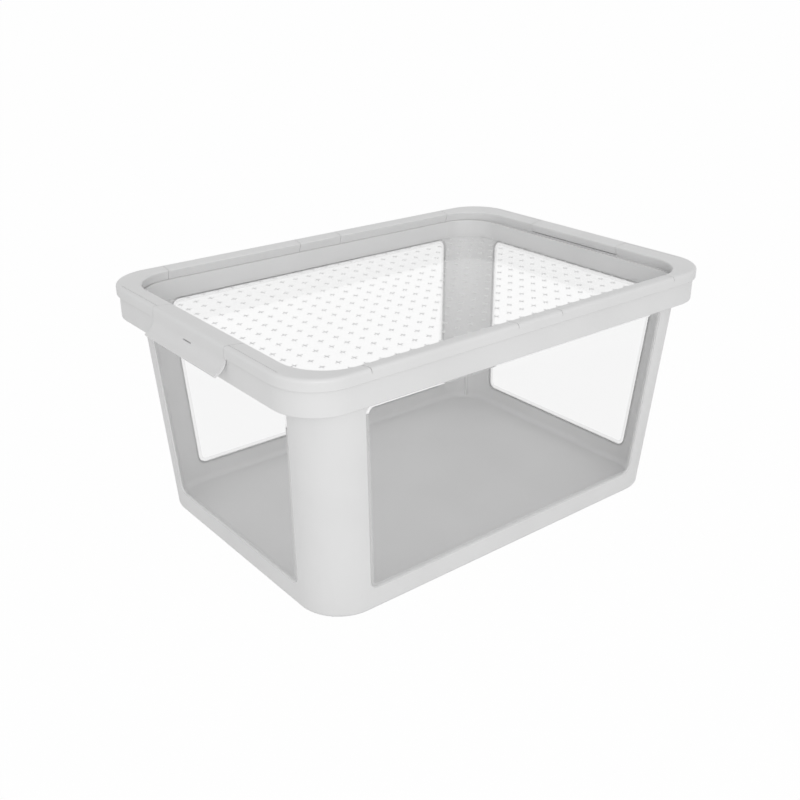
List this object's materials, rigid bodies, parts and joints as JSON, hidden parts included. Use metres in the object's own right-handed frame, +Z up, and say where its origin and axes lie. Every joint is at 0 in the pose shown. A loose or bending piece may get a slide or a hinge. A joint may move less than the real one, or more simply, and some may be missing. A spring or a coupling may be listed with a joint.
{
  "type": "storage box with lid",
  "caption": "Rectangular storage box with an opaque frame, clear windows in its leaning walls, and a lift-off lid with a sunk clear panel and hinged end clips.",
  "frame": {"origin": "middle of the box's underside", "axes": "+X along the long side towards the right clip, +Y away from the front window, +Z up"},
  "size_m": [0.58, 0.39, 0.27],
  "materials": {
    "white_plastic": "moulded, satin",
    "clear_plastic": "moulded, clear and smooth",
    "frosted_plastic": "moulded, clear, with a grid of small raised crosses"
  },
  "bodies": {
    "box": {"box_frame": "white_plastic", "front_window": "clear_plastic", "back_window": "clear_plastic", "left_window": "clear_plastic", "right_window": "clear_plastic"},
    "lid": {"lid_ring": "white_plastic", "lid_panel": "frosted_plastic"},
    "left_clip": {"left_clip": "white_plastic"},
    "right_clip": {"right_clip": "white_plastic"}
  },
  "joints": [
    {"name": "lid_lift", "type": "slide", "parent": "box", "child": "lid", "axis": [0, 0, 1], "range_m": [0, 0.15]},
    {"name": "left_clip_hinge", "type": "hinge", "parent": "lid", "child": "left_clip", "pos_m": [-0.26058, 0, 0.2594], "axis": [0, 1, 0], "range_deg": [0, 70]},
    {"name": "right_clip_hinge", "type": "hinge", "parent": "lid", "child": "right_clip", "pos_m": [0.26058, 0, 0.2594], "axis": [0, -1, 0], "range_deg": [0, 70]}
  ]
}
